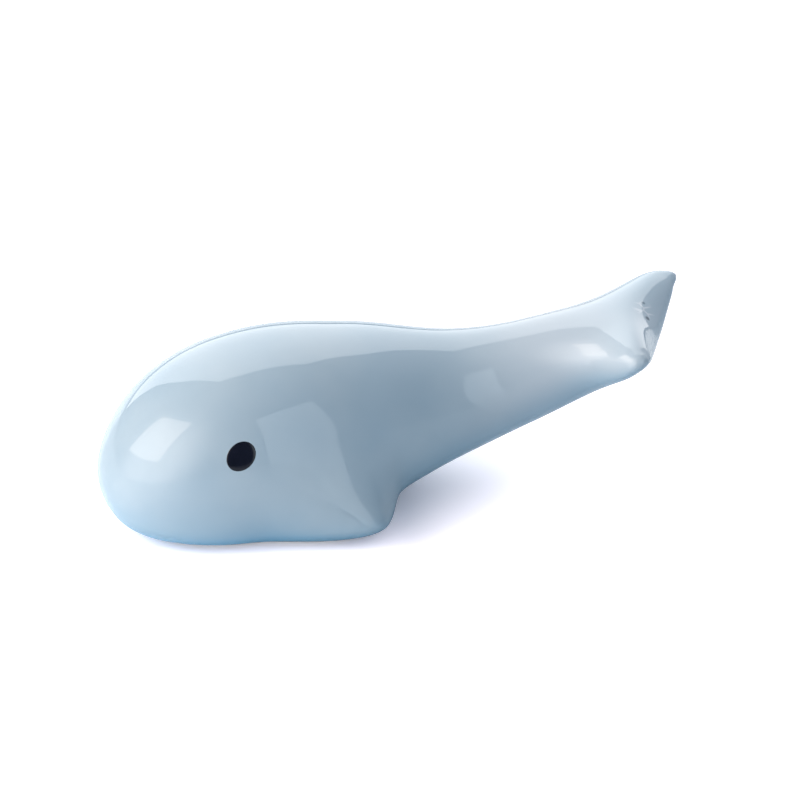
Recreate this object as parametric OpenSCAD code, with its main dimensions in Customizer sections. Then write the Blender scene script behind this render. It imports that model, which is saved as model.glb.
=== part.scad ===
// Chopstick rest in the form of a small whale. A cast porcelain body stands on
// a flat bare foot under a pale blue glaze, with a black dot for each eye. The
// sticks lie across the low back between the hump and the raised flukes.
// The head is towards -X, the near side towards -Y, the table at Z = 0.

/* [Whale] */
// Length over everything, nose to the tip of the far fluke
whale_l = 65; // [50:1:90]
// Width over both flippers
whale_w = 28; // [26:0.5:36]
// Width of the head at the cheeks
head_w = 23; // [18:0.5:25]
// Height of the hump over the table
hump_h = 20; // [16:0.5:24]
// Height of the spine line at the flukes' trailing edge
tail_h = 17; // [13:0.5:22]
// How far the nose turns to the near side, in degrees
head_turn = 10; // [0:1:20]
// How far the flukes turn to the near side, in degrees
tail_turn = 25; // [0:1:35]

/* [Tail] */
// Width of the tail where it is slimmest
stock_w = 10; // [7:0.5:13]
// Height of the tail where it is slimmest
stock_h = 9; // [6:0.5:12]
// Span over both flukes
fluke_span = 22.5; // [14:0.5:26]
// Thickness of the flukes
fluke_t = 6; // [4:0.25:8]
// How far the tips of the flukes curl up from the spine line
fluke_lift = 2.4; // [0:0.2:3]
// How far the near fluke hangs below level and the far one stands above it
fluke_tilt = 0.5; // [0:0.1:1]
// Depth of the notch between the flukes
notch_d = 0.7; // [0:0.1:2]
// Depth of the dent in the upper edge of the notch
dent_d = 0.8; // [0:0.1:1.2]

/* [Flippers] */
// Length of a flipper's root along the side
flipper_l = 19.5; // [12:0.5:24]
// Distance of the flippers behind the nose
flipper_back = 22; // [18:0.5:30]
// Height over the table at which a flipper leaves the side
flipper_h = 12; // [6:0.5:12]
// Height of a flipper's edge over the table
edge_h = 2.5; // [1:0.25:4]
// How far a flipper's end is swept back
sweep = 2.5; // [0:0.5:5]

/* [Glaze] */
// Thickness of the glaze
glaze_t = 0.4; // [0.2:0.05:0.6]
// Height of the bare foot below the edge of the glaze
foot_h = 0.4; // [0.2:0.05:0.8]
// Chamfer around the bare foot
chamfer = 0.3; // [0.1:0.05:0.5]

/* [Eyes] */
// Length of each black dot
eye_l = 3.5; // [2:0.1:5]
// Width of each black dot
eye_w = 2.9; // [2:0.1:5]
// Distance of the dots behind the nose
eye_back = 12.5; // [10:0.5:20]
// Height of the dots over the table
eye_h = 12.5; // [7:0.25:13]
// Lean of the dots from upright, in degrees
eye_lean = 45; // [0:5:90]

/* [Hidden] */

// Stations from nose to tail as shares of the spine line: five on the body,
// two on the slim tail and two on the flukes
station_share = [0, 0.15, 0.30, 0.45, 0.60, 0.72, 0.86, 0.94, 1];
// Half width at each station, as shares of half the width of that length
body_width_share = [0.88, 0.97, 1, 0.88, 0.65];
stock_width_share = [1.08, 1.15];
fluke_width_share = [0.83, 0.95];
// Height of the spine line, as shares of the hump's and of the tail's height
body_spine_share = [0.20, 0.33, 0.415, 0.455, 0.505];
tail_spine_share = [0.725, 0.915, 0.97, 1];
// Reach above and below the spine line, as shares of the height of that length
body_above_share = [0.40, 0.55, 0.585, 0.51, 0.38];
body_below_share = [0.30, 0.40, 0.475, 0.455, 0.34];
stock_above_share = [0.60, 0.45];
stock_below_share = [0.70, 0.54];
fluke_above_share = [0.66, 0.75];
fluke_below_share = [0.38, 0.2];
// Fullness of the sections over and under the spine line: 2 is an ellipse
upper_power = [2.3, 2.3, 2.2, 2.1, 2, 2, 2, 2, 2.2];
lower_power = [3, 2.9, 2.7, 2.4, 2.1, 2, 2, 2.8, 3];
// Rounding of the nose and of the flukes' trailing edge
nose_share = 0.26;
nose_power = 2.4;
end_share = 0.07;
end_width_share = 0.75;
// Spread of the notch and of its dent, and where the curl of the tips and the dent begin
notch_spread_share = 1.2;
dent_spread_share = 0.45;
fluke_start_share = 0.85;
dent_start_share = 0.92;
// Flare of the flippers, rounding of their edge, how much they draw in under it
// and how far across the underside they begin
flare_power = 1.5;
edge_share = 0.15;
tuck_share = 0.45;
flank_share = 0.7;
// Where a flipper ends behind its middle, as a share of half its length, and the
// fullness of that end, which meets the side in a crease
rear_share = 0.83;
rear_power = 1.15;

// Rings from nose to tail and points along each side of them, and how far round
// the trailing edge the last ring lies, in degrees
ring_n = 48;
side_n = 42;
nose_n = 15;
tail_n = 6;
tail_angle = 74;
ease_n = 9;
back_angle = 150;
dot_n = 48;

half_widths = concat(head_w / 2 * body_width_share, stock_w / 2 * stock_width_share,
                     fluke_span / 2 * fluke_width_share);
spine_heights = concat(hump_h * body_spine_share, tail_h * tail_spine_share);
reach_above = concat(hump_h * body_above_share, stock_h * stock_above_share, fluke_t * fluke_above_share);
reach_below = concat(hump_h * body_below_share, stock_h * stock_below_share, fluke_t * fluke_below_share);
last = len(half_widths) - 1;
spine_l = whale_l - half_widths[last] * end_width_share * sin(tail_turn);

function unit(v) = v / norm(v);
function flat(v) = [v.x, v.y, 0];
function mix(a, b, u) = a + (b - a) * u;
function ramp(x) = x <= 0 ? 0 : x >= 1 ? 1 : x * x * (3 - 2 * x);
function bell(x) = abs(x) < 1 ? (1 - x ^ 2) ^ 2 : 0;
function shape(v, p) = sign(v) * abs(v) ^ (2 / p);

// Smooth curve through the values set at the stations
function slope_at(ys, i) =
    let (xs = station_share, a = max(0, i - 1), b = min(len(xs) - 1, i + 1))
    (ys[b] - ys[a]) / (xs[b] - xs[a]);
function span_of(x, i = 0) =
    i >= len(station_share) - 2 || x < station_share[i + 1] ? i : span_of(x, i + 1);
function smooth_at(ys, x) =
    let (i = span_of(x), h = station_share[i + 1] - station_share[i], u = (x - station_share[i]) / h)
    (2 * u ^ 3 - 3 * u ^ 2 + 1) * ys[i] + (u ^ 3 - 2 * u ^ 2 + u) * h * slope_at(ys, i)
    + (3 * u ^ 2 - 2 * u ^ 3) * ys[i + 1] + (u ^ 3 - u ^ 2) * h * slope_at(ys, i + 1);

// Spine line: in plan an arc that turns both ends to the near side, rising to the tail
function spine(s) = [
    spine_l * (3 * s ^ 2 - 2 * s ^ 3 + (s ^ 3 - 2 * s ^ 2 + s) * cos(head_turn)
               + (s ^ 3 - s ^ 2) * cos(tail_turn)),
    spine_l * ((s ^ 3 - 2 * s ^ 2 + s) * sin(head_turn) - (s ^ 3 - s ^ 2) * sin(tail_turn)),
    smooth_at(spine_heights, s)];
step_share = 0.005;
function along(s) = unit(spine(min(1, s + step_share)) - spine(max(0, s - step_share)));

function nose_round(s) = s >= nose_share ? 1 : (1 - (1 - s / nose_share) ^ nose_power) ^ (1 / nose_power);
function end_round(s) = let (u = (s - 1 + end_share) / end_share) u <= 0 ? 1 : sqrt(max(0, 1 - u ^ 2));

// Section at share s: place, forward, sideways and up directions, half width,
// reach above and below, fullness above and below, and the share itself
function section(s) =
    let (t = along(s), b = unit([t.y, -t.x, 0]), k = nose_round(s), e = end_round(s))
    [spine(s), t, b, cross(b, t),
     smooth_at(half_widths, s) * k * mix(end_width_share, 1, e),
     smooth_at(reach_above, s) * k * e,
     smooth_at(reach_below, s) * k * e,
     smooth_at(upper_power, s), smooth_at(lower_power, s), s];

// Share of a flipper's full reach along its length, and at height z, with the
// edge rounded over
function lobe(x) = x < 0 ? bell(x) : x < rear_share ? (1 - (x / rear_share) ^ 2) ^ rear_power : 0;
function soft(x) = (norm([x, edge_share]) - edge_share) / (norm([1, edge_share]) - edge_share);
function flipper_rise(z) =
    z > edge_h ? max(0, 1 - soft((z - edge_h) / (flipper_h - edge_h))) ^ flare_power
               : 1 - tuck_share * ramp((edge_h - z) / edge_h);

// Point of the glazed surface on section f, a degrees round from underneath by the near side
function skin(f, a) =
    let (above = cos(a) < 0, p = above ? f[7] : f[8],
         u = shape(sin(a), p), v = -shape(cos(a), p) * (above ? f[5] : f[6]),
         base = f[0] + f[2] * f[4] * u + f[3] * v,
         out = lobe((f[9] * spine_l - flipper_back) * 2 / flipper_l) * flipper_rise(base.z)
               * ramp(abs(u) / flank_share),
         fluke = ramp((f[9] - fluke_start_share) / (1 - fluke_start_share)),
         dent = above ? ramp((f[9] - dent_start_share) / (1 - dent_start_share)) : 0)
    base + f[2] * sign(u) * (whale_w / 2 - f[4] * abs(u)) * out
         + f[1] * (sweep * out ^ 2 - notch_d * fluke * bell(u / notch_spread_share))
         + f[3] * (fluke * (fluke_lift * u ^ 2 - fluke_tilt * u)
                   - dent_d * dent * bell(u / dent_spread_share));

// Angle at which a section meets the edge of the glaze, found by halving
function edge_angle(f, lo = 0, hi = 90, n = 24) =
    let (a = (lo + hi) / 2)
    n == 0 ? a : skin(f, a).z > foot_h ? edge_angle(f, lo, a, n - 1) : edge_angle(f, a, hi, n - 1);

// Sections, closer together where the nose and the trailing edge round over
mid_n = ring_n - nose_n - tail_n;
first_step_share = 0.65;
sections = concat(
    [for (i = [1:nose_n]) section(nose_share * (1 - cos(90 * (i - 1 + first_step_share) / nose_n)))],
    [for (i = [1:mid_n]) section(mix(nose_share, 1 - end_share, i / mid_n))],
    [for (i = [1:tail_n]) section(1 - end_share + end_share * sin(tail_angle * i / tail_n))]);
grounded = [for (i = [0:ring_n - 1]) if (skin(sections[i], 0).z < foot_h) i];
front = grounded[0];
rear = grounded[len(grounded) - 1];
front_angle = edge_angle(sections[front]);
rear_angle = edge_angle(sections[rear]);
function on_foot(i) = i >= front && i <= rear;

// Rings of points: side_n from the foot's near edge over the back to its far
// edge, even over the back and closed up towards the foot, and one more at each end
m = side_n + 2;
gap = 3 / 2 * 360 / m;
function low_angle(i) =
    on_foot(i) ? edge_angle(sections[i])
    : max(gap, i < front ? front_angle * ramp(1 - (front - i) / ease_n)
                         : rear_angle * ramp(1 - (i - rear) / ease_n));
function spread(low, k) =
    let (t = gap + (360 - 2 * gap) * k / (side_n - 1), u = min(t, 360 - t))
    t + (t < 180 ? 1 : -1) * (low - gap) * (1 - ramp((u - gap) / (back_angle - gap)));
function ring(i) =
    let (f = sections[i], low = low_angle(i), side = [for (k = [0:side_n - 1]) skin(f, spread(low, k))],
         p = side[0], q = side[side_n - 1])
    concat([on_foot(i) ? mix(p, q, 1 / 3) : skin(f, low / 3)], side,
           [on_foot(i) ? mix(q, p, 1 / 3) : skin(f, -low / 3)]);
outer = [for (i = [0:ring_n - 1]) ring(i)];

// Outward direction at a point, level along the edge of the glaze
function out_of(i, k) =
    let (side = on_foot(i) && (k == 1 || k == m - 2),
         end = (i == front || i == rear) && (k <= 1 || k >= m - 2),
         di = outer[min(ring_n - 1, i + 1)][k] - outer[max(0, i - 1)][k],
         dk = outer[i][side && k == m - 2 ? k : (k + 1) % m] - outer[i][side && k == 1 ? k : (k + m - 1) % m],
         n = unit(cross(di, dk)), t = unit(flat(sections[i][1])) * (i == front ? -1 : 1))
    side && end ? unit(unit(flat(n)) + t) : side ? unit(flat(n)) : end ? t : n;
inner = [for (i = [0:ring_n - 1]) [for (k = [0:m - 1]) outer[i][k] - glaze_t * out_of(i, k)]];

// Rings of the clay: the inner rings, let down past the table between the foot's
// ends, where the flat of the foot is cut
overrun = foot_h / 2;
function foot_point(p, q) = flat(p + unit(q - p) * chamfer * (1 + overrun / foot_h)) - [0, 0, overrun];
core = [for (i = [0:ring_n - 1]) let (r = inner[i], p = r[1], q = r[m - 2])
    i > front && i < rear
    ? [for (k = [0:m - 1]) k == 0 ? foot_point(p, q) : k == m - 1 ? foot_point(q, p) : r[k]] : r];

// The middle of the whole goes over the origin
all_points = [for (r = outer) each r];
function middle(v) = (min(v) + max(v)) / 2;
centre = [middle([for (p = all_points) p.x]), middle([for (p = all_points) p.y]), 0];

// Triangles of a tube of rings whose first point is number base, of the strips
// that close an end from ring point k on, which run up and down across the flat
// trailing edge, and of the edge that joins two skins round the foot
function quad(a, b, c, d) = [[a, b, c], [a, c, d]];
function tube(base, open) = [
    for (i = [0:ring_n - 2], k = [0:m - 1])
        if (!open || i < front || i >= rear || (k > 0 && k < m - 2))
            each quad(base + i * m + k, base + i * m + (k + 1) % m,
                      base + (i + 1) * m + (k + 1) % m, base + (i + 1) * m + k)];
function close(base, k) = [
    for (i = [0:m / 2 - 2]) each quad(base + (k + i) % m, base + (k + i + 1) % m,
                                      base + (m + k - 2 - i) % m, base + (m + k - 1 - i) % m)];
function turn(faces) = [for (f = faces) [f[2], f[1], f[0]]];
function closed(base, open) =
    concat(tube(base, open), turn(close(base, 0)), close(base + (ring_n - 1) * m, floor(m / 4)));
function rim(base) = concat(
    [for (i = [front:rear]) base + i * m + 1], [base + rear * m, base + rear * m + m - 1],
    [for (i = [rear:-1:front]) base + i * m + m - 2], [base + front * m + m - 1, base + front * m]);

// The glaze before the eyes are cut: outer skin, inner skin and the rim between
module glaze_blank() {
    shift = ring_n * m;
    a = rim(0);
    b = rim(shift);
    n = len(a);
    polyhedron(
        [for (r = concat(outer, inner)) for (p = r) p - centre],
        concat(closed(0, true), turn(closed(shift, true)),
               [for (i = [0:n - 1]) each quad(a[i], a[(i + 1) % n], b[(i + 1) % n], b[i])]));
}

// Place and outward direction of an eye on the near side (1) or the far side (-1)
function angle_at(f, z, lo = 20, hi = 160, n = 24) =
    let (a = (lo + hi) / 2)
    n == 0 ? a : skin(f, a).z > z ? angle_at(f, z, lo, a, n - 1) : angle_at(f, z, a, hi, n - 1);
eye_s = eye_back / spine_l;
eye_a = angle_at(section(eye_s), eye_h);
function eye_at(side) = skin(section(eye_s), side * eye_a) - centre;
function eye_out(side) = unit(side * cross(
    skin(section(eye_s + step_share), side * eye_a) - skin(section(eye_s - step_share), side * eye_a),
    skin(section(eye_s), side * (eye_a + 1)) - skin(section(eye_s), side * (eye_a - 1))));

// Plug through the glaze, as wide as the black dot
module eye_plug(side) {
    n = eye_out(side);
    translate(eye_at(side) - n * eye_l / 2)
        rotate([0, acos(n.z), atan2(n.y, n.x)])
            rotate(-side * eye_lean)
                linear_extrude(eye_l)
                    scale([eye_l, eye_w])
                        circle(d = 1, $fn = dot_n);
}

module clay_body() {
    color("white")
        difference() {
            polyhedron([for (r = core) for (p = r) p - centre], closed(0, false));
            translate([-whale_l / 2, -whale_w / 2, -2 * overrun])
                cube([whale_l, whale_w, 2 * overrun]);
        }
}

module glaze_coat() {
    color("lightblue")
        difference() {
            glaze_blank();
            eye_plug(1);
            eye_plug(-1);
        }
}

module eye(side) {
    color("black")
        intersection() {
            glaze_blank();
            eye_plug(side);
        }
}

module left_eye() { eye(1); }
module right_eye() { eye(-1); }

clay_body();
glaze_coat();
left_eye();
right_eye();
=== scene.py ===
import math

import bmesh
import bpy
from mathutils import Matrix, Vector
from mathutils.bvhtree import BVHTree


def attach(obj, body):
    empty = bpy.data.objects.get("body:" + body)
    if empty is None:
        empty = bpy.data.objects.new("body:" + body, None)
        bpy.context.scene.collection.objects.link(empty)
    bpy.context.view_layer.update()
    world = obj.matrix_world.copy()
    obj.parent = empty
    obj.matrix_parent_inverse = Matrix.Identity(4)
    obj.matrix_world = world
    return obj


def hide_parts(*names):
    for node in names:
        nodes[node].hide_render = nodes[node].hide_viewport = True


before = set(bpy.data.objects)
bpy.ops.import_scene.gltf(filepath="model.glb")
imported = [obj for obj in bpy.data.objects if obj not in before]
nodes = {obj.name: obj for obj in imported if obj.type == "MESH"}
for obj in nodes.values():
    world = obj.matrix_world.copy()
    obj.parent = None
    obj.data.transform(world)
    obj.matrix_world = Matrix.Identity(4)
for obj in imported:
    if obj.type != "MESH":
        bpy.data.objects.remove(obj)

scene = bpy.context.scene
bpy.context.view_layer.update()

# Clay body
# The cast porcelain whale, flippers and flukes in one piece. Glaze covers it all
# but the flat foot, which was wiped clean before firing and shows the bare clay.
weld = 1e-6
any_angle = math.pi
sponged_from = 0.013
sponge_strokes = 40
sponge_press = 0.5
sponge_release = -0.53
foot_normal_z = -0.99
surface_ior = 1.5
grain_depth = 0.00004


def fresh_material(name, roughness):
    """A node material, its node tree and its surface shader."""
    material = bpy.data.materials.new(name)
    material.use_nodes = True
    shader = material.node_tree.nodes["Principled BSDF"]
    shader.inputs["Roughness"].default_value = roughness
    shader.inputs["IOR"].default_value = surface_ior
    return material, material.node_tree, shader


def add(tree, kind, **settings):
    """A node with its settings, where a number or colour goes to the input of that name."""
    node = tree.nodes.new(kind)
    for key, value in settings.items():
        if hasattr(node, key):
            setattr(node, key, value)
        else:
            node.inputs[key.replace("_", " ")].default_value = value
    return node


def two_tone(tree, dark, light, start=0.0, end=1.0):
    """A ramp from one colour to another between two levels."""
    ramp = add(tree, "ShaderNodeValToRGB")
    low, high = ramp.color_ramp.elements
    low.position = start
    high.position = end
    low.color = dark
    high.color = light
    return ramp


porcelain, tree, shader = fresh_material("bare_porcelain", roughness=0.75)
place = add(tree, "ShaderNodeTexCoord")
grain = add(tree, "ShaderNodeTexNoise", Scale=2600.0, Detail=3.0, Roughness=0.6)
blotch = add(tree, "ShaderNodeTexNoise", Scale=260.0, Detail=2.0)
tone = two_tone(tree, (0.72, 0.69, 0.64, 1), (0.84, 0.82, 0.78, 1))
tooth = add(tree, "ShaderNodeBump", Strength=0.25, Distance=grain_depth)
for noise in (grain, blotch):
    tree.links.new(place.outputs["Object"], noise.inputs["Vector"])
tree.links.new(blotch.outputs["Fac"], tone.inputs["Fac"])
tree.links.new(tone.outputs["Color"], shader.inputs["Base Color"])
tree.links.new(grain.outputs["Fac"], tooth.inputs["Height"])
tree.links.new(tooth.outputs["Normal"], shader.inputs["Normal"])


def finished(bm, name, material):
    """The mesh as a smooth object at the origin."""
    mesh = bpy.data.meshes.new(name)
    bm.to_mesh(mesh)
    bm.free()
    mesh.materials.append(material)
    for face in mesh.polygons:
        face.use_smooth = True
    piece = bpy.data.objects.new(name, mesh)
    scene.collection.objects.link(piece)
    return piece


def sponge(bm, verts, press):
    """Moves each point towards the middle of its neighbours, or away where press is below 0."""
    bmesh.ops.smooth_vert(bm, verts=verts, factor=press,
                          use_axis_x=True, use_axis_y=True, use_axis_z=True)


bm = bmesh.new()
bm.from_mesh(nodes["clay_body"].data)
bmesh.ops.remove_doubles(bm, verts=bm.verts, dist=weld)
bmesh.ops.join_triangles(bm, faces=bm.faces, angle_face_threshold=any_angle,
                         angle_shape_threshold=any_angle)
# The wet clay was sponged over the flukes, which takes the hardness off their edges.
# Each stroke that presses in is let out again, so the flukes keep their thickness.
tail = [v for v in bm.verts if v.co.x > sponged_from]
for stroke in range(sponge_strokes):
    sponge(bm, tail, sponge_press)
    sponge(bm, tail, sponge_release)
bm.normal_update()
core = finished(bm, "clay_core", porcelain)
for face in core.data.polygons:
    face.use_smooth = face.normal.z > foot_normal_z
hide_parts("clay_body")
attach(core, "root")

# Glaze
# One skin of pale blue glaze over the clay, 0.4 mm thick, that ends just above the
# table. It starts as a copy of the clay's surface, pushed out by its thickness.
glaze_t = 0.0004
glaze_edge = 0.0004
flukes_from = 0.02
fluke_edge_from = 0.0225
edge_strokes = 3
tip_reach = 0.0016
tip_strokes = 4
tip_drop = 0.0002

bm = bmesh.new()
bm.from_mesh(core.data)
under = [f for f in bm.faces if all(v.co.z < glaze_edge + weld for v in f.verts)]
bmesh.ops.delete(bm, geom=under, context="FACES")
# The edges and tips of the flukes are rounder still, and a drop gathered on each tip
far_tip = max(bm.verts, key=lambda v: v.co.x)
near_tip = min((v for v in bm.verts if v.co.x > flukes_from), key=lambda v: v.co.y)
tips = (far_tip.co.copy(), near_tip.co.copy())
at_tip = {v: 1 - min((v.co - tip).length for tip in tips) / tip_reach for v in bm.verts}
edge_verts = [v for v in bm.verts if v.co.x > fluke_edge_from]
tip_verts = [v for v in bm.verts if at_tip[v] > 0]
for softened in [edge_verts] * edge_strokes + [tip_verts] * tip_strokes:
    sponge(bm, softened, sponge_press)
bm.normal_update()
for v in bm.verts:
    out = v.normal.copy()
    if v.is_boundary:
        out.z = 0
        out.normalize()
    v.co += out * (glaze_t + tip_drop * max(at_tip[v], 0))

# Molten glaze ran down to the rim and into the hollows, where it stands thicker and
# bluer. The same deeper blue is also painted shade: along the bottom near the table and
# on faces that turn downwards. How much is kept at each point: 0 on a crest, 1 in a
# crease or at the rim.
rim_h = 0.003
rim_share = 1.8
# How much painted shade a face turned straight down gets
underside_shade_share = 0.65
full_hollow = 300
spreads = 2


def neighbours(v):
    """The points that share an edge with this one."""
    return [e.other_vert(v) for e in v.link_edges]


pooled_and_shaded = bm.verts.layers.float.new("pooled_and_shaded")
bm.normal_update()
for v in bm.verts:
    around = [n.co - v.co for n in neighbours(v)]
    hollow = sum(d.dot(v.normal) / d.length_squared for d in around) / len(around)
    rim = (rim_h - v.co.z) / rim_h * rim_share
    v[pooled_and_shaded] = min(max(hollow / full_hollow, rim, -v.normal.z * underside_shade_share, 0), 1)
for spread in range(spreads):
    nearby = {v: sum(n[pooled_and_shaded] for n in neighbours(v)) / len(v.link_edges) for v in bm.verts}
    for v in bm.verts:
        v[pooled_and_shaded] = (v[pooled_and_shaded] + nearby[v]) / 2

# Subdivision draws each point in towards the middle of its neighbours, so it is first
# moved the other way, by a third of its distance to that middle
outward_divisor = 3
middles = {v: sum((n.co for n in neighbours(v)), Vector()) / len(v.link_edges) for v in bm.verts}
for v in bm.verts:
    if not v.is_boundary:
        v.co += (v.co - middles[v]) / outward_divisor

# Faint clouds in the blue, and a slight ripple in the gloss. The blue is paler over
# the slim tail, most of all halfway along it.
paler_from = 0.003
paler_to = 0.031
ripple_depth = 0.0002
glaze, tree, shader = fresh_material("pale_blue_glaze", roughness=0.04)
place = add(tree, "ShaderNodeTexCoord")
cloud = add(tree, "ShaderNodeTexNoise", Scale=85.0, Detail=3.0, Roughness=0.5)
tone = two_tone(tree, (0.375, 0.49, 0.583, 1), (0.425, 0.53, 0.61, 1), start=0.35, end=0.65)
# The deeper blue is pooled glaze, and also painted shade along the bottom and under overhangs
thick_and_shaded = add(tree, "ShaderNodeAttribute", attribute_name="pooled_and_shaded")
pool_and_shade = add(tree, "ShaderNodeMix", data_type="RGBA")
pool_and_shade.inputs["B"].default_value = (0.17, 0.44, 0.64, 1)
where = add(tree, "ShaderNodeSeparateXYZ")
tailward = add(tree, "ShaderNodeMapRange", From_Min=paler_from, From_Max=paler_to)
paling = two_tone(tree, (0, 0, 0, 1), (0, 0, 0, 1))
paling.color_ramp.interpolation = "EASE"
paling.color_ramp.elements.new(0.5).color = (0.65, 0.65, 0.65, 1)
pale = add(tree, "ShaderNodeMix", data_type="RGBA")
pale.inputs["B"].default_value = (0.52, 0.575, 0.635, 1)
ripple = add(tree, "ShaderNodeTexNoise", Scale=160.0, Detail=1.0)
wave = add(tree, "ShaderNodeBump", Strength=0.12, Distance=ripple_depth)
for noise in (cloud, ripple):
    tree.links.new(place.outputs["Object"], noise.inputs["Vector"])
tree.links.new(cloud.outputs["Fac"], tone.inputs["Fac"])
tree.links.new(place.outputs["Object"], where.inputs["Vector"])
tree.links.new(where.outputs["X"], tailward.inputs["Value"])
tree.links.new(tailward.outputs["Result"], paling.inputs["Fac"])
tree.links.new(paling.outputs["Color"], pale.inputs["Factor"])
tree.links.new(tone.outputs["Color"], pale.inputs["A"])
tree.links.new(pale.outputs["Result"], pool_and_shade.inputs["A"])
tree.links.new(thick_and_shaded.outputs["Fac"], pool_and_shade.inputs["Factor"])
tree.links.new(ripple.outputs["Fac"], wave.inputs["Height"])
tree.links.new(wave.outputs["Normal"], shader.inputs["Normal"])


def eased(tree, start, end, first=0.0, last=1.0):
    """A node that goes smoothly from the first value to the last between two levels."""
    return add(tree, "ShaderNodeMapRange", interpolation_type="SMOOTHSTEP",
               From_Min=start, From_Max=end, To_Min=first, To_Max=last)


# Over the notch the colour carries a few pale lines and two dark pinholes. A mark is
# whole to a third of its reach and fades out from there.
line_cells = add(tree, "ShaderNodeTexVoronoi", feature="DISTANCE_TO_EDGE", Scale=620.0)
pale_line = add(tree, "ShaderNodeMapRange", From_Min=0.09, From_Max=0.04)
tree.links.new(place.outputs["Object"], line_cells.inputs["Vector"])
tree.links.new(line_cells.outputs["Distance"], pale_line.inputs["Value"])
skin = pool_and_shade.outputs["Result"]
for spot, reach, shade, pattern in (
        ((0.0273, -0.0022, 0.0196), 0.0016, (0.58, 0.65, 0.72, 1), pale_line.outputs["Result"]),
        ((0.0274, -0.0034, 0.0192), 0.0004, (0.12, 0.17, 0.22, 1), None),
        ((0.0275, -0.0012, 0.0199), 0.0003, (0.2, 0.27, 0.33, 1), None)):
    apart = add(tree, "ShaderNodeVectorMath", operation="DISTANCE")
    apart.inputs[1].default_value = spot
    patch = eased(tree, reach, reach / 3)
    mark = add(tree, "ShaderNodeMath", operation="MULTIPLY")
    mark.inputs[1].default_value = 1
    marked = add(tree, "ShaderNodeMix", data_type="RGBA")
    marked.inputs["B"].default_value = shade
    tree.links.new(place.outputs["Object"], apart.inputs[0])
    tree.links.new(apart.outputs["Value"], patch.inputs["Value"])
    tree.links.new(patch.outputs["Result"], mark.inputs[0])
    if pattern:
        tree.links.new(pattern, mark.inputs[1])
    tree.links.new(mark.outputs[0], marked.inputs["Factor"])
    tree.links.new(skin, marked.inputs["A"])
    skin = marked.outputs["Result"]
tree.links.new(skin, shader.inputs["Base Color"])

glaze_skin = finished(bm, "glaze_skin", glaze)
wall = glaze_skin.modifiers.new("thickness", "SOLIDIFY")
wall.thickness = glaze_t
wall.offset = -1
smooth = glaze_skin.modifiers.new("smooth", "SUBSURF")
smooth.levels = smooth.render_levels = 2
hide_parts("glaze_coat")
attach(glaze_skin, "root")

# Eyes
# A dot of black glaze on each side of the head, an oval that leans to the tail. It
# was dabbed on before firing and lies almost level with the blue around it.
dot_l = 0.0035
dot_w = 0.00288
dot_lean = math.radians(45)
dot_rise = 0.00004
dot_root = 0.00015
dot_sides = 48
dot_rings = 6
outer_ring = 0.02
ring_growth = 0.03
dome_power = 6
rim_radius = 0.999

black, tree, shader = fresh_material("black_dot", roughness=0.12)
place = add(tree, "ShaderNodeTexCoord")
brush = add(tree, "ShaderNodeTexNoise", Scale=900.0, Detail=2.0)
tone = two_tone(tree, (0.004, 0.004, 0.008, 1), (0.012, 0.012, 0.022, 1))
tree.links.new(place.outputs["Object"], brush.inputs["Vector"])
tree.links.new(brush.outputs["Fac"], tone.inputs["Fac"])
tree.links.new(tone.outputs["Color"], shader.inputs["Base Color"])


def middle_face(bm):
    """The face that fills the middle of a round dot, the only one with many sides."""
    return [f for f in bm.faces if len(f.verts) > 4]


surface = BVHTree.FromObject(glaze_skin, bpy.context.evaluated_depsgraph_get())
for name, side in (("left_eye", 1), ("right_eye", -1)):
    # Where the dot's middle comes on the glaze, and its long and short half axes there
    corners = [Vector(corner) for corner in nodes[name].bound_box]
    plug_middle = sum(corners, Vector()) / len(corners)
    start = plug_middle + Vector((0, -side * dot_l, dot_l))
    middle, out = surface.ray_cast(start, plug_middle - start)[:2]
    up = (Vector((0, 0, 1)) - out * out.z).normalized()
    along = (Matrix.Rotation(-side * dot_lean, 3, out) @ up) * dot_l / 2
    across = out.cross(along).normalized() * dot_w / 2
    # A disc in rings, laid on the glaze as a low dome whose rim is sunk into it
    bm = bmesh.new()
    bmesh.ops.create_circle(bm, cap_ends=True, segments=dot_sides, radius=1)
    for ring in range(dot_rings):
        bmesh.ops.inset_region(bm, faces=middle_face(bm), use_boundary=True,
                               thickness=outer_ring + ring_growth * ring)
    bmesh.ops.poke(bm, faces=middle_face(bm))
    for v in bm.verts:
        spot = middle + along * v.co.x + across * v.co.y
        hit, normal = surface.ray_cast(spot + out * dot_l, -out)[:2]
        edge = v.co.xy.length
        rise = dot_rise * (1 - edge ** dome_power) if edge < rim_radius else -dot_root
        v.co = hit + normal * rise
    bmesh.ops.recalc_face_normals(bm, faces=bm.faces)
    dot = finished(bm, name + "_dot", black)
    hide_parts(name)
    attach(dot, "root")

# Table
# A white table. To the camera it glows white, more at the head's end, where this
# painted light covers its shadow, and less towards the tail; close round the whale the
# glow is dimmed into a narrow painted violet shadow. The light that it gives back to
# the whale is painted into its colour, a grey blue that is stronger at the head's end
# and falls off all round.
table_half = 1.5
bright_within = 0.04
dim_beyond = 0.8
lit_head_x = -0.035
lit_tail_x = 0.005
lift_head_x = -0.01
lift_tail_x = 0.001
painted_shadow_reach = 0.007

white, tree, shader = fresh_material("white_table", roughness=0.25)
seen = add(tree, "ShaderNodeLightPath")
place = add(tree, "ShaderNodeTexCoord")
where = add(tree, "ShaderNodeSeparateXYZ")
away = add(tree, "ShaderNodeVectorMath", operation="LENGTH")
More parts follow.
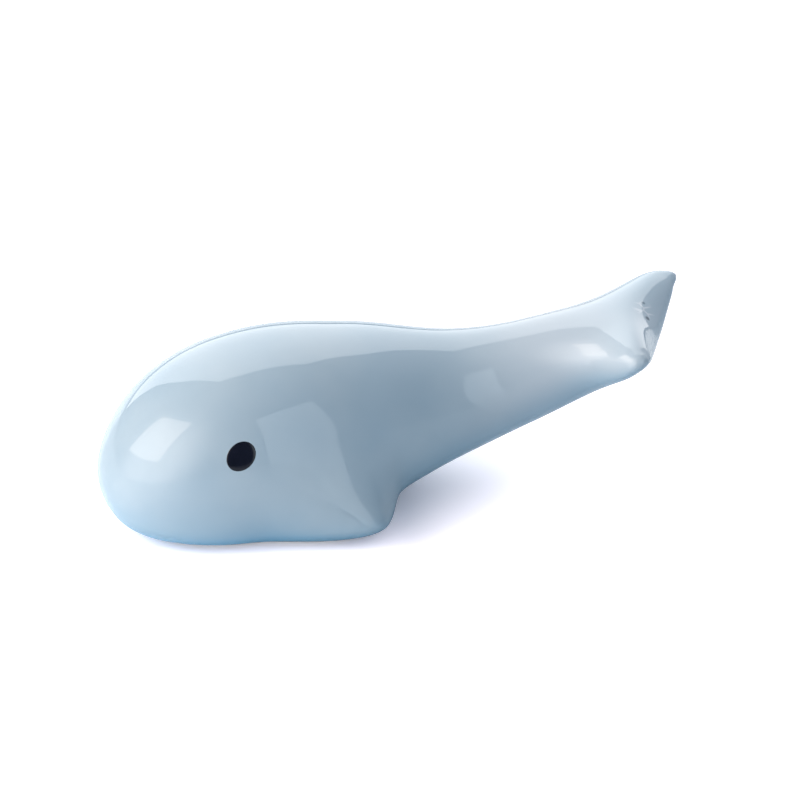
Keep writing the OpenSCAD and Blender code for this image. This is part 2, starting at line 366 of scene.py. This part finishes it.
# Rays other than the camera's see a grey blue that is painted light given back to the whale
dim = eased(tree, bright_within, dim_beyond, first=1.0, last=0.25)
lit = eased(tree, lit_head_x, lit_tail_x, first=1.6, last=0.92)
given_back = add(tree, "ShaderNodeMath", operation="MULTIPLY")
bounce = add(tree, "ShaderNodeVectorMath", operation="SCALE")
bounce.inputs[0].default_value = (0.57, 0.645, 0.705)
paint = add(tree, "ShaderNodeMix", data_type="RGBA")
paint.inputs["B"].default_value = (0.98, 0.98, 1, 1)
whitened = eased(tree, lift_head_x, lift_tail_x, first=1.7, last=0.55)
# The glow is dimmed near the whale, which paints a violet shadow there
painted_shadow = add(tree, "ShaderNodeAmbientOcclusion", Distance=painted_shadow_reach)
painted_shadow.inputs["Color"].default_value = (1.03, 0.95, 1.08, 1)
shown = add(tree, "ShaderNodeMath", operation="MULTIPLY")
lift = add(tree, "ShaderNodeEmission")
both = add(tree, "ShaderNodeAddShader")
tree.links.new(place.outputs["Object"], away.inputs[0])
tree.links.new(place.outputs["Object"], where.inputs["Vector"])
tree.links.new(away.outputs["Value"], dim.inputs["Value"])
tree.links.new(where.outputs["X"], lit.inputs["Value"])
tree.links.new(dim.outputs["Result"], given_back.inputs[0])
tree.links.new(lit.outputs["Result"], given_back.inputs[1])
tree.links.new(given_back.outputs[0], bounce.inputs["Scale"])
tree.links.new(bounce.outputs[0], paint.inputs["A"])
tree.links.new(seen.outputs["Is Camera Ray"], paint.inputs["Factor"])
tree.links.new(seen.outputs["Is Glossy Ray"], shader.inputs["Specular IOR Level"])
tree.links.new(paint.outputs["Result"], shader.inputs["Base Color"])
tree.links.new(where.outputs["X"], whitened.inputs["Value"])
tree.links.new(whitened.outputs["Result"], shown.inputs[0])
tree.links.new(seen.outputs["Is Camera Ray"], shown.inputs[1])
tree.links.new(painted_shadow.outputs["Color"], lift.inputs["Color"])
tree.links.new(shown.outputs[0], lift.inputs["Strength"])
tree.links.new(shader.outputs[0], both.inputs[0])
tree.links.new(lift.outputs[0], both.inputs[1])
tree.links.new(both.outputs[0], tree.nodes["Material Output"].inputs["Surface"])
bm = bmesh.new()
bmesh.ops.create_grid(bm, x_segments=1, y_segments=1, size=table_half)
table = finished(bm, "white_table", white)

# Light
# A plain studio: a wide soft light on the left, and weak ones from above and from the
# rear right. A window on the left, a tall panel on the right in front and an upright
# screen behind are what the glaze reflects.
dim_room = (0.0, 0.05, 0.105)


def toward(azimuth, elevation):
    """Direction from the whale: azimuth 0 is in front of it, -90 on its left."""
    a = math.radians(azimuth)
    e = math.radians(elevation)
    return Vector((math.sin(a) * math.cos(e), -math.cos(a) * math.cos(e), math.sin(e)))


world = bpy.data.worlds.new("studio")
scene.world = world
world.use_nodes = True
tree = world.node_tree
sky = tree.nodes["Background"]
look = add(tree, "ShaderNodeTexCoord")
so_far = None
for azimuth, elevation, reach, radiance in (
        (-72, 14, 56, (3.25, 3.02, 2.85)),
        (-35, 80, 30, (0.15, 0.15, 0.15)),
        (112, 22, 42, (1.0, 0.92, 0.88))):
    facing = add(tree, "ShaderNodeVectorMath", operation="DOT_PRODUCT")
    facing.inputs[1].default_value = toward(azimuth, elevation)
    fade = eased(tree, math.cos(math.radians(reach)), 1)
    glow = add(tree, "ShaderNodeVectorMath", operation="MULTIPLY_ADD")
    glow.inputs[1].default_value = radiance
    glow.inputs[2].default_value = dim_room
    tree.links.new(look.outputs["Generated"], facing.inputs[0])
    tree.links.new(facing.outputs["Value"], fade.inputs["Value"])
    tree.links.new(fade.outputs["Result"], glow.inputs[0])
    if so_far:
        tree.links.new(so_far, glow.inputs[2])
    so_far = glow.outputs[0]
tree.links.new(so_far, sky.inputs["Color"])


def placed(spot, back):
    """The matrix of a lamp or camera at a spot, with its back turned to a direction."""
    return Matrix.Translation(spot) @ back.to_track_quat("Z", "Y").to_matrix().to_4x4()


def softbox(name, azimuth, elevation, distance, width, height, radiance, colour, turned=None):
    """A rectangular light that faces the whale, or stands upright and turned to an azimuth."""
    lamp = bpy.data.lights.new(name, "AREA")
    lamp.shape = "RECTANGLE"
    lamp.size = width
    lamp.size_y = height
    lamp.color = colour
    lamp.energy = radiance * math.pi * width * height
    light = bpy.data.objects.new(name, lamp)
    scene.collection.objects.link(light)
    to_light = toward(azimuth, elevation)
    back = to_light if turned is None else toward(turned, 0)
    light.matrix_world = placed(to_light * distance, back)
    light.visible_camera = False


softbox("left_window", azimuth=-100.6, elevation=33.4, distance=0.573, width=0.485,
        height=0.37, radiance=2.5, colour=(1, 0.85, 0.73), turned=-60)
softbox("right_panel", azimuth=26, elevation=25.5, distance=0.7, width=0.29,
        height=0.68, radiance=1.35, colour=(0.9, 0.98, 1.03))
softbox("rear_screen", azimuth=171, elevation=54.3, distance=1.55, width=1.5,
        height=2.42, radiance=2.2, colour=(1, 0.99, 0.98), turned=171)

# Camera
# The photograph looks down at 30 degrees from the near side, 12 degrees round
# towards the head, from half a metre away.
camera_back = toward(azimuth=-12, elevation=30)
camera_distance = 0.5
aim = Vector((0, 0, 0.008))
camera = bpy.data.objects.new("camera", bpy.data.cameras.new("camera"))
scene.collection.objects.link(camera)
scene.camera = camera
camera.data.sensor_width = 36
camera.data.lens = 207.5
camera.data.shift_x = 0.0100
camera.data.shift_y = 0.0244
camera.data.clip_start = 0.01
camera.matrix_world = placed(aim + camera_back * camera_distance, camera_back)

scene.view_settings.view_transform = "Standard"
